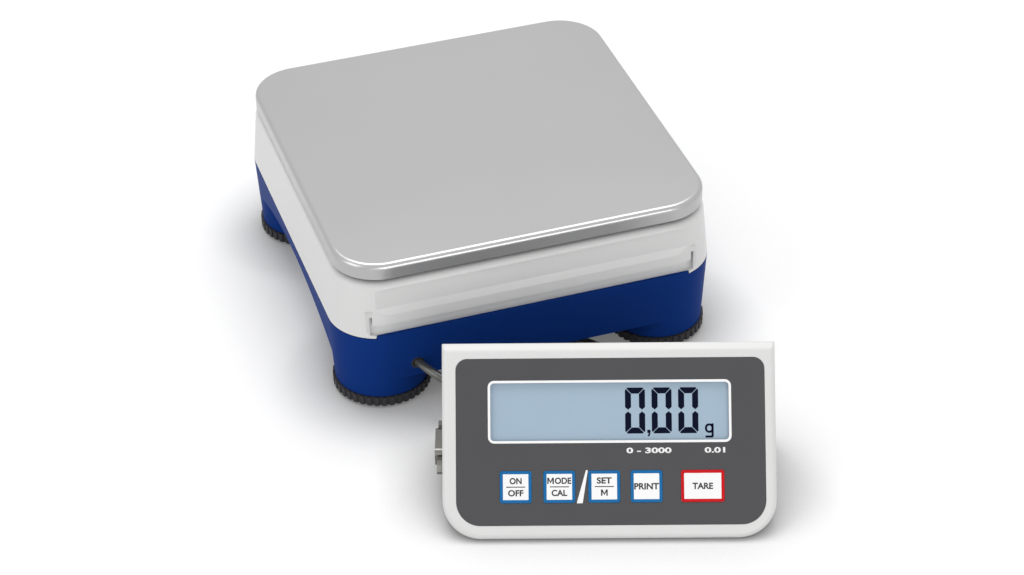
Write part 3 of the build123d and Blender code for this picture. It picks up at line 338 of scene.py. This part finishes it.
NODE_FINISHES = {
    "cover_white": ("top_cover", "display_housing"),
    "housing_blue": ("lower_housing",),
    "base_grey": ("display_base",),
    "plate_steel": ("weighing_plate",),
    "foot_black": tuple("foot_wheel_" + place for place in FEET),
    "foot_rubber": tuple("foot_pad_" + place for place in FEET) + ("display_feet",),
    "cast_alloy": ("pan_support",),
    "milled_alloy": ("base_plate", "load_cell", "cell_spacer"),
    "bush_brass": ("foot_inserts",),
    "zinc_steel": ("cell_screws", "overload_stop", "support_screws", "cover_screws", "board_screws",
                   "board_standoffs", "main_board_screws", "display_screws"),
    "rest_rubber": ("plate_rests",),
    "potting_white": ("cell_potting",),
    "board_green": ("converter_board", "main_board"),
    "part_black": ("board_parts", "main_board_parts", "power_inlet"),
    "connector_ivory": ("lead_plug",),
    "lead_grey": ("cell_lead",),
    "ring_black": ("level_ring",),
    "level_liquid": ("level_vial",),
    "overlay_charcoal": ("front_panel",),
    "film_clear": ("switch_film", "spacer_film"),
    "dome_steel": ("key_domes",),
    "key_white": tuple("key_" + key for key in KEYS),
    "display_glass": ("lcd_glass",),
    "diffuser_white": ("lcd_light",),
    "nickel_shell": ("serial_shell", "serial_jacks"),
    "insert_black": ("serial_insert",),
    "cord_rubber": ("cord_grommet", "cord_gland", "cord_tie"),
    "cord_black": ("cord_lead", "cord_coil", "cord_tail"),
}


# Flat prints: drawn in the face's millimetres, given a thickness, then laid on the face


def patch(bm, x, y, width, height, corner=0.0):
    """A flat rectangle about a point, with rounded corners."""
    place = Matrix.Translation((x, y, 0)) @ Matrix.Diagonal((width, height, 1, 1))
    made = bmesh.ops.create_grid(bm, x_segments=1, y_segments=1, size=0.5, matrix=place)
    if corner:
        bmesh.ops.bevel(
            bm, geom=made["verts"], offset=corner, segments=PATCH_STEPS, profile=0.5,
            affect="VERTICES", material=-1)


def ring(bm, x, y, width, height, corner, thickness):
    """A flat rounded frame about a point."""
    patch(bm, x, y, width, height, corner)
    outer = max(bm.faces, key=lambda f: f.calc_area())
    bmesh.ops.inset_region(bm, faces=[outer], thickness=thickness, use_boundary=True, use_even_offset=True)
    inner = max(bm.faces, key=lambda f: f.calc_area())
    bmesh.ops.delete(bm, geom=[inner], context="FACES_ONLY")


def outline(bm, points, corner=0.0, rounded=()):
    """A flat face through a few points, with some of its corners rounded."""
    corners = [bm.verts.new((x, y, 0)) for x, y in points]
    bm.faces.new(corners)
    if corner:
        bmesh.ops.bevel(
            bm, geom=[corners[i] for i in rounded], offset=corner, segments=OUTLINE_STEPS, profile=0.5,
            affect="VERTICES", material=-1)


def lay_print(bm, name, height, material, body):
    """Gives flat faces a thickness, lays them on the face at a height and makes the piece."""
    bmesh.ops.remove_doubles(bm, verts=bm.verts, dist=WELD)
    bmesh.ops.recalc_face_normals(bm, faces=bm.faces)
    for face in bm.faces:
        if face.normal.z < 0:
            face.normal_flip()
    made = bmesh.ops.extrude_face_region(bm, geom=bm.faces[:])
    top = [v for v in made["geom"] if isinstance(v, bmesh.types.BMVert)]
    bmesh.ops.translate(bm, vec=(0, 0, PRINT_T), verts=top)
    bmesh.ops.recalc_face_normals(bm, faces=bm.faces)
    bmesh.ops.transform(bm, matrix=FACE_MM @ Matrix.Translation((0, 0, height)), verts=bm.verts)
    mesh = bpy.data.meshes.new(name)
    bm.to_mesh(mesh)
    bm.free()
    add_piece(name, mesh, material, body)


def add_word(bm, words, x, y, height, width=None):
    """Adds a word in the built-in font, centred on a point, with capitals of that height."""
    curve = bpy.data.curves.new("word", "FONT")
    curve.body = words
    curve.size = 1.0
    curve.resolution_u = LETTER_STEPS
    curve.offset = LETTER_SWELL
    carrier = bpy.data.objects.new("word", curve)
    bpy.context.scene.collection.objects.link(carrier)
    bpy.context.view_layer.update()
    mesh = bpy.data.meshes.new_from_object(carrier)
    bpy.data.objects.remove(carrier)
    bpy.data.curves.remove(curve)
    xs = [v.co.x for v in mesh.vertices]
    ys = [v.co.y for v in mesh.vertices]
    high = height / (max(ys) - min(ys))
    wide = width / (max(xs) - min(xs)) if width else high
    centre = Matrix.Translation((-(max(xs) + min(xs)) / 2, -(max(ys) + min(ys)) / 2, 0))
    mesh.transform(Matrix.Translation((x, y, 0)) @ Matrix.Diagonal((wide, high, 1, 1)) @ centre)
    bm.from_mesh(mesh)
    bpy.data.meshes.remove(mesh)


# Studio


def ray_mask(tree, names):
    """The highest of some Light Path outputs."""
    path = tree.nodes.new("ShaderNodeLightPath")
    value = path.outputs[names[0]]
    for name in names[1:]:
        both = tree.nodes.new("ShaderNodeMath")
        both.operation = "MAXIMUM"
        tree.links.new(value, both.inputs[0])
        tree.links.new(path.outputs[name], both.inputs[1])
        value = both.outputs["Value"]
    return value


SEEN_RAYS = ("Is Camera Ray", "Is Glossy Ray", "Is Transmission Ray")


def make_world(strength):
    """An even pale world that seen rays meet as white."""
    world = bpy.data.worlds.new("studio")
    bpy.context.scene.world = world
    world.use_nodes = True
    tree = world.node_tree
    light = tree.nodes["Background"]
    light.inputs["Color"].default_value = (1.0, 1.0, 1.0, 1.0)
    mix = tree.nodes.new("ShaderNodeMix")
    mix.inputs["A"].default_value = strength
    mix.inputs["B"].default_value = 1.0
    tree.links.new(ray_mask(tree, SEEN_RAYS), mix.inputs["Factor"])
    tree.links.new(mix.outputs["Result"], light.inputs["Strength"])


def make_floor(settings):
    """A wide pale floor under the object, white where no shadow falls, its colour darkened by painted shade
    close round the object.
    """
    bm = bmesh.new()
    bmesh.ops.create_grid(bm, x_segments=1, y_segments=1, size=FLOOR_HALF)
    mesh = bpy.data.meshes.new("floor")
    bm.to_mesh(mesh)
    bm.free()
    floor = bpy.data.objects.new("floor", mesh)
    bpy.context.scene.collection.objects.link(floor)
    material = bpy.data.materials.new("floor")
    material.use_nodes = True
    tree = material.node_tree
    shader = tree.nodes["Principled BSDF"]
    # Painted shade: an ambient-occlusion node darkens the floor's colour close round the object, a painted
    # contact shadow
    shade = tree.nodes.new("ShaderNodeAmbientOcclusion")
    shade.samples = PAINTED_SHADE_SAMPLES
    shade.inputs["Color"].default_value = (*settings.floor_colour, 1)
    shade.inputs["Distance"].default_value = settings.painted_contact_shade
    tree.links.new(shade.outputs["Color"], shader.inputs["Base Color"])
    shader.inputs["Roughness"].default_value = FLOOR_DULLNESS
    shader.inputs["Specular IOR Level"].default_value = FLOOR_GLOSS
    glow = tree.nodes.new("ShaderNodeEmission")
    share = tree.nodes.new("ShaderNodeMath")
    share.operation = "MULTIPLY"
    share.inputs[1].default_value = settings.floor_lift
    both = tree.nodes.new("ShaderNodeAddShader")
    tree.links.new(ray_mask(tree, SEEN_RAYS), share.inputs[0])
    tree.links.new(share.outputs["Value"], glow.inputs["Strength"])
    tree.links.new(shader.outputs["BSDF"], both.inputs[0])
    tree.links.new(glow.outputs["Emission"], both.inputs[1])
    tree.links.new(both.outputs["Shader"], tree.nodes["Material Output"].inputs["Surface"])
    mesh.materials.append(material)


def add_softbox(name, place, aim, width, height, power):
    """A rectangular area lamp that points at a place."""
    lamp = bpy.data.lights.new(name, "AREA")
    lamp.shape = "RECTANGLE"
    lamp.size = width
    lamp.size_y = height
    lamp.energy = power
    holder = bpy.data.objects.new(name, lamp)
    bpy.context.scene.collection.objects.link(holder)
    holder.location = place
    holder.rotation_euler = (Vector(aim) - Vector(place)).to_track_quat("-Z", "Y").to_euler()


def add_camera(settings):
    """The photograph's camera."""
    data = bpy.data.cameras.new("camera")
    data.lens = settings.lens
    data.sensor_width = SENSOR_WIDTH
    data.sensor_fit = "HORIZONTAL"
    camera = bpy.data.objects.new("camera", data)
    bpy.context.scene.collection.objects.link(camera)
    turn = Matrix.Rotation(-settings.camera_turn, 4, "Z")
    drop = Matrix.Rotation(pi / 2 - settings.camera_drop, 4, "X")
    roll = Matrix.Rotation(settings.camera_roll, 4, "Z")
    camera.matrix_world = Matrix.Translation(settings.camera_place) @ turn @ drop @ roll
    bpy.context.scene.camera = camera


class BALANCE_OT_stage(bpy.types.Operator):
    """Makes the floor, the lamps, the world and the camera"""
    bl_idname = "balance.stage"
    bl_label = "Stage"

    def execute(self, context):
        settings = context.scene.balance_stage
        context.scene.view_settings.view_transform = "Standard"
        make_world(settings.world_light)
        make_floor(settings)
        powers = (settings.key_light, settings.side_light, settings.front_light)
        for (name, layout), power in zip(SOFTBOXES.items(), powers):
            add_softbox(name, *layout, power)
        add_camera(settings)
        return {"FINISHED"}


class BALANCE_OT_finishes(bpy.types.Operator):
    """Gives every carried CAD node its finish"""
    bl_idname = "balance.finishes"
    bl_label = "Finishes"

    def execute(self, context):
        made = make_finishes(context.scene.balance_finish)
        for finish, nodes in NODE_FINISHES.items():
            for node in nodes:
                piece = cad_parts[node]
                for slot in piece.material_slots:
                    slot.material = made[finish]
        return {"FINISHED"}


# Cord: the route's points about the middle of the weighing unit, in millimetres
CORD_OUT = [
    (-52.0, -77.6, 20.6), (-49.2, -85.4, 20.2), (-44.6, -92.4, 18.9), (-37.6, -98.2, 15.2),
    (-29.4, -103.0, 9.9), (-20.6, -107.3, 4.9), (-12.6, -112.2, 2.0), (-4.4, -116.8, 1.95),
]
CORD_BACK = [
    (19.4, -115.1, 5.7), (27.6, -110.4, 4.9), (36.9, -107.3, 3.2), (46.5, -107.3, 2.0),
    (55.2, -110.9, 1.95), (62.0, -117.4, 2.3), (65.8, -126.0, 3.6), (66.1, -135.4, 5.4),
    (63.3, -143.7, 7.0),
]
COIL_MIDDLE = (6.0, -92.0)
COIL_START = 247.2
WOUND_TURNS = 7.147
LAYER_LOW = 2.4
LAYER_HIGH = 6.2
TURN_STEP = 3.8
LOW_JOGS = (0.70, 1.70, 2.70)
CLIMB = (3.42, 3.74)
HIGH_JOGS = (4.17, 5.17, 6.17)
JOG_LENGTH = 0.22


def ease(value, start, length):
    """A smooth step from 0 to 1 that starts at a value."""
    share = min(max((value - start) / length, 0.0), 1.0)
    return share * share * (3 - 2 * share)


def coil_points(settings):
    """The coil's control points: inward on the table, up, and outward on top."""
    points = []
    step = 1 / settings.points_a_turn
    grown = 2 / (1 + cos(pi / settings.points_a_turn))
    count = round((WOUND_TURNS - 0.06) / step)
    for number in range(1, count):
        turns = number * step
        inward = sum(ease(turns, jog, JOG_LENGTH) for jog in LOW_JOGS)
        outward = sum(ease(turns, jog, JOG_LENGTH) for jog in HIGH_JOGS)
        radius = (settings.coil_radius / MM - TURN_STEP * (inward - outward)) * grown
        angle = radians(COIL_START + 360 * turns)
        height = LAYER_LOW + (LAYER_HIGH - LAYER_LOW) * ease(turns, CLIMB[0], CLIMB[1] - CLIMB[0])
        points.append((COIL_MIDDLE[0] + radius * cos(angle), COIL_MIDDLE[1] + radius * sin(angle), height))
    return points


class BALANCE_OT_cord(bpy.types.Operator):
    """Lays the cord from the weighing unit through its coil to the console"""
    bl_idname = "balance.cord"
    bl_label = "Cord"

    def execute(self, context):
        settings = context.scene.balance_cord
        route = CORD_OUT + coil_points(settings) + CORD_BACK
        curve = bpy.data.curves.new("signal_cord", "CURVE")
        curve.dimensions = "3D"
        curve.resolution_u = 6
        curve.bevel_depth = settings.radius
        curve.bevel_resolution = 5
        curve.use_fill_caps = True
        spline = curve.splines.new("NURBS")
        spline.points.add(len(route) - 1)
        for point, (x, y, z) in zip(spline.points, route):
            point.co = (x * MM, y * MM + UNIT.y, z * MM, 1.0)
        spline.order_u = 3
        spline.use_endpoint_u = True
        cord = bpy.data.objects.new("signal_cord", curve)
        context.scene.collection.objects.link(cord)
        curve.materials.append(bpy.data.materials["cord_black"])
        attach(cord, ROOT)
        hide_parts("cord_lead", "cord_coil", "cord_tail")
        return {"FINISHED"}


# Overlay print, in the face's millimetres
PANEL_TOP = 64.85
PANEL_LOW = 0.15
STRIPE_FOOT = -20.0
WINDOW = (-0.3, 44.15, 92.8, 22.5)
WINDOW_FRAME = 0.95
WINDOW_CORNER = 1.5
KEY_ROW = 15.0
KEY_HEIGHT = 12.4
KEY_WIDTHS = {"on_off": 12.3, "mode": 12.3, "set": 12.3, "print": 12.3, "tare": 16.8}
KEY_PLACES = {"on_off": -37.0, "mode": -20.05, "set": -2.6, "print": 13.8, "tare": 35.6}
KEY_CORNER = 0.9
KEY_CLEAR = 0.2
RANGE_WORDS = (("0 - 3000", 14.9, 17.5), ("0.01", 40.5, 8.0))
RANGE_ROW = 28.9
RANGE_HEIGHT = 2.2


class BALANCE_OT_overlay_print(bpy.types.Operator):
    """Prints the stripes, the window's frame and the numbers on the overlay"""
    bl_idname = "balance.overlay_print"
    bl_label = "Overlay print"

    def execute(self, context):
        settings = context.scene.balance_print
        white = bpy.data.materials["print_white"]
        self.print_stripes(settings, white)
        bm = bmesh.new()
        x, y, width, height = WINDOW
        ring(
            bm, x, y, width + 2 * WINDOW_FRAME, height + 2 * WINDOW_FRAME,
            WINDOW_CORNER + WINDOW_FRAME, WINDOW_FRAME)
        lay_print(bm, "window_frame", OVERLAY_TOP, white, ROOT)
        bm = bmesh.new()
        for words, across, width in RANGE_WORDS:
            add_word(bm, words, across, RANGE_ROW, RANGE_HEIGHT, width)
        lay_print(bm, "range_numbers", OVERLAY_TOP, white, ROOT)
        return {"FINISHED"}

    def print_stripes(self, settings, white):
        """Equal slanted stripes that pass behind the window's frame and the keys."""
        slant = sin(settings.stripe_lean) / cos(settings.stripe_lean)
        x, y, width, height = WINDOW
        edge = WINDOW_FRAME + 0.02
        holes = [(x - width / 2 - edge, x + width / 2 + edge, y - height / 2 - edge, y + height / 2 + edge)]
        key_low = KEY_ROW - KEY_HEIGHT / 2 - KEY_CLEAR
        key_high = KEY_ROW + KEY_HEIGHT / 2 + KEY_CLEAR
        bm = bmesh.new()
        for number in range(settings.stripe_count):
            foot = STRIPE_FOOT + number * (settings.stripe_width + settings.stripe_gap)
            low, high = foot + slant * PANEL_LOW, foot + slant * PANEL_TOP
            outline(bm, [(low, PANEL_LOW), (low + settings.stripe_width, PANEL_LOW),
                         (high + settings.stripe_width, PANEL_TOP), (high, PANEL_TOP)])
        for key, place in KEY_PLACES.items():
            half = KEY_WIDTHS[key] / 2 + KEY_CLEAR
            holes.append((place - half, place + half, key_low, key_high))
        for low_x, high_x, low_y, high_y in holes:
            for co, no in (((low_x, 0, 0), (1, 0, 0)), ((high_x, 0, 0), (1, 0, 0)),
                           ((0, low_y, 0), (0, 1, 0)), ((0, high_y, 0), (0, 1, 0))):
                every = bm.verts[:] + bm.edges[:] + bm.faces[:]
                bmesh.ops.bisect_plane(bm, geom=every, plane_co=co, plane_no=no)
            hidden = []
            for face in bm.faces:
                centre = face.calc_center_median()
                if low_x < centre.x < high_x and low_y < centre.y < high_y:
                    hidden.append(face)
            bmesh.ops.delete(bm, geom=hidden, context="FACES")
        bmesh.ops.dissolve_limit(
            bm, angle_limit=radians(1.0), use_dissolve_boundaries=True, verts=bm.verts[:], edges=bm.edges[:])
        lay_print(bm, "overlay_stripes", OVERLAY_TOP, white, ROOT)


# Key print: words with their middle's place about the key's middle, and their width
CAP_HEIGHT = 2.5
KEY_WORDS = {
    "on_off": (("ON", 0.0, 2.35, 4.7), ("OFF", 0.0, -2.35, 6.0)),
    "mode": (("M", -3.4, 2.35, 2.6), ("ODE", 1.45, 2.35, 6.4), ("CAL", 0.0, -2.35, 6.1)),
    "set": (("SET", 0.0, 2.35, 5.8), ("M", 0.0, -2.35, 2.6)),
    "print": (("PRINT", 0.0, 0.0, 9.6),),
    "tare": (("TARE", 0.0, 0.0, 8.0),),
}
WORD_LINE = (7.4, 0.38)
CAP_STEM = 0.56
# The letter M: across in stems or widths, up in heights
CAP_M = ((0, 0, 0), (1, 0, 0), (1, 0, 0.60), (0, 0.5, 0.10), (-1, 1, 0.60), (-1, 1, 0),
         (0, 1, 0), (0, 1, 1), (-1.1, 1, 1), (0, 0.5, 0.42), (1.1, 0, 1), (0, 0, 1))


def add_m(bm, x, y, width):
    """Adds a bold letter M centred on a point."""
    outline(bm, [(x - width / 2 + stems * CAP_STEM + across * width, y + (up - 0.5) * CAP_HEIGHT)
                 for stems, across, up in CAP_M])


class BALANCE_OT_key_print(bpy.types.Operator):
    """Prints each key's coloured frame and its words"""
    bl_idname = "balance.key_print"
    bl_label = "Key print"

    def execute(self, context):
        settings = context.scene.balance_print
        grey = bpy.data.materials["print_grey"]
        for key in KEYS:
            colour = bpy.data.materials["print_red" if key == "tare" else "print_blue"]
            place = KEY_PLACES[key]
            bm = bmesh.new()
            ring(bm, place, KEY_ROW, KEY_WIDTHS[key], KEY_HEIGHT, KEY_CORNER, settings.frame_width)
            lay_print(bm, "key_frame_" + key, KEY_TOP, colour, "press_" + key)
            bm = bmesh.new()
            for words, shift, rise, width in KEY_WORDS[key]:
                if words == "M":
                    add_m(bm, place + shift, KEY_ROW + rise, width)
                else:
                    add_word(bm, words, place + shift, KEY_ROW + rise, CAP_HEIGHT, width)
            if len(KEY_WORDS[key]) > 1:
                patch(bm, place, KEY_ROW, *WORD_LINE)
            lay_print(bm, "key_words_" + key, KEY_TOP, grey, "press_" + key)
        return {"FINISHED"}


# Display: three seven-segment noughts, a comma and the unit's letter
DIGIT_LEFTS = (5.8, 16.15, 26.5)
DIGIT_LOW = 35.5
DIGIT_WIDTH = 7.8
DIGIT_HEIGHT = 17.9
STROKE = 2.35
SEGMENT_GAP = 0.16
SEGMENT_CORNER = 1.0
COMMA = (15.0, 35.6)
COMMA_RISE = 0.7
COMMA_DOT = 1.3
COMMA_CORNER = 0.3
COMMA_TAIL = ((-0.1, 0), (0.65, 0), (0.2, -1.2), (-0.5, -1.2))
LETTER = (38.5, 37.4)
LETTER_BOWL = (3.4, 3.7)
LETTER_STROKE = 0.85


def nought(bm, left, low):
    """The six lit segments of a nought."""
    w, h, t, g = DIGIT_WIDTH, DIGIT_HEIGHT, STROKE, SEGMENT_GAP
    bar = [(g, 0), (w - g, 0), (w - t - g, t), (t + g, t)]
    limb = [(0, g), (t, t + g), (t, h / 2 - t / 2 - g), (t / 2, h / 2 - 2 * g), (0, h / 2 - t / 2 - g)]
    for flip in (False, True):
        turned = [(x, h - y if flip else y) for x, y in bar]
        outline(bm, [(left + x, low + y) for x, y in turned], SEGMENT_CORNER, (0, 1))
        for mirror in (False, True):
            points = [(w - x if mirror else x, h - y if flip else y) for x, y in limb]
            outline(bm, [(left + x, low + y) for x, y in points], SEGMENT_CORNER, (0,))


def small_g(bm):
    """The letter g: a bowl, a stem and a hook."""
    x, y = LETTER
    wide, high = LETTER_BOWL
    ring(bm, x, y, wide, high, wide / 2 - 0.1, LETTER_STROKE)
    stem_x = x + wide / 2 - LETTER_STROKE / 2
    patch(bm, stem_x, y - high / 5, LETTER_STROKE, high * 1.4)
    patch(bm, x - 0.05, y - high * 0.88, wide - 0.4, LETTER_STROKE, 0.3)


class BALANCE_OT_display_print(bpy.types.Operator):
    """Makes the display's dark segments"""
    bl_idname = "balance.display_print"
    bl_label = "Display segments"

    def execute(self, context):
        bm = bmesh.new()
        small_g(bm)
        for left in DIGIT_LEFTS:
            nought(bm, left, DIGIT_LOW)
        x, y = COMMA
        patch(bm, x, y + COMMA_RISE, COMMA_DOT, COMMA_DOT, COMMA_CORNER)
        outline(bm, [(x + across, y + up) for across, up in COMMA_TAIL])
        lay_print(bm, "display_segments", GLASS_TOP, bpy.data.materials["segment_ink"], ROOT)
        return {"FINISHED"}


# Level: the black circle on the vial, its outer radius, line, thickness and corners
CIRCLE_R = 3.35
CIRCLE_LINE = 0.35
CIRCLE_T = 0.03
CIRCLE_STEPS = 48


class BALANCE_OT_level(bpy.types.Operator):
    """Makes the level's circle"""
    bl_idname = "balance.level"
    bl_label = "Level"

    def execute(self, context):
        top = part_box("level_vial")[1]
        place = middle("level_vial")
        bm = bmesh.new()
        outer = bmesh.ops.create_circle(bm, cap_ends=True, radius=CIRCLE_R * MM, segments=CIRCLE_STEPS)
        face = outer["verts"][0].link_faces[0]
        bmesh.ops.inset_region(bm, faces=[face], thickness=CIRCLE_LINE * MM, use_boundary=True)
        inner = max(bm.faces, key=lambda f: f.calc_area())
        bmesh.ops.delete(bm, geom=[inner], context="FACES_ONLY")
        made = bmesh.ops.extrude_face_region(bm, geom=bm.faces[:])
        raised = [v for v in made["geom"] if isinstance(v, bmesh.types.BMVert)]
        bmesh.ops.translate(bm, vec=(0, 0, CIRCLE_T * MM), verts=raised)
        bmesh.ops.recalc_face_normals(bm, faces=bm.faces)
        bmesh.ops.translate(bm, vec=(place.x, place.y, top[2]), verts=bm.verts)
        mesh = bpy.data.meshes.new("level_circle")
        bm.to_mesh(mesh)
        bm.free()
        add_piece("level_circle", mesh, bpy.data.materials["ring_black"], ROOT)
        return {"FINISHED"}


OPERATORS = (
    BALANCE_OT_stage, BALANCE_OT_finishes, BALANCE_OT_cord, BALANCE_OT_overlay_print,
    BALANCE_OT_key_print, BALANCE_OT_display_print, BALANCE_OT_level,
)
SETTINGS = {
    "balance_stage": StageSettings,
    "balance_cord": CordSettings,
    "balance_print": PrintSettings,
    "balance_finish": FinishSettings,
}


class BALANCE_PT_panel(bpy.types.Panel):
    """Lists the settings and the steps"""
    bl_idname = "BALANCE_PT_panel"
    bl_label = "Precision balance"
    bl_space_type = "VIEW_3D"
    bl_region_type = "UI"
    bl_category = "Balance"

    def draw(self, context):
        for name, group in SETTINGS.items():
            box = self.layout.box()
            for prop in group.__annotations__:
                box.prop(getattr(context.scene, name), prop)
        for operator in OPERATORS:
            self.layout.operator(operator.bl_idname)


def register():
    for group in SETTINGS.values():
        bpy.utils.register_class(group)
    for operator in OPERATORS:
        bpy.utils.register_class(operator)
    bpy.utils.register_class(BALANCE_PT_panel)
    for name, group in SETTINGS.items():
        setattr(bpy.types.Scene, name, PointerProperty(type=group))


def unregister():
    for name in SETTINGS:
        delattr(bpy.types.Scene, name)
    bpy.utils.unregister_class(BALANCE_PT_panel)
    for operator in reversed(OPERATORS):
        bpy.utils.unregister_class(operator)
    for group in SETTINGS.values():
        bpy.utils.unregister_class(group)


def main():
    register()
    bpy.ops.balance.stage()
    bpy.ops.balance.finishes()
    bpy.ops.balance.cord()
    bpy.ops.balance.overlay_print()
    bpy.ops.balance.key_print()
    bpy.ops.balance.display_print()
    bpy.ops.balance.level()


if __name__ == "__main__":
    main()
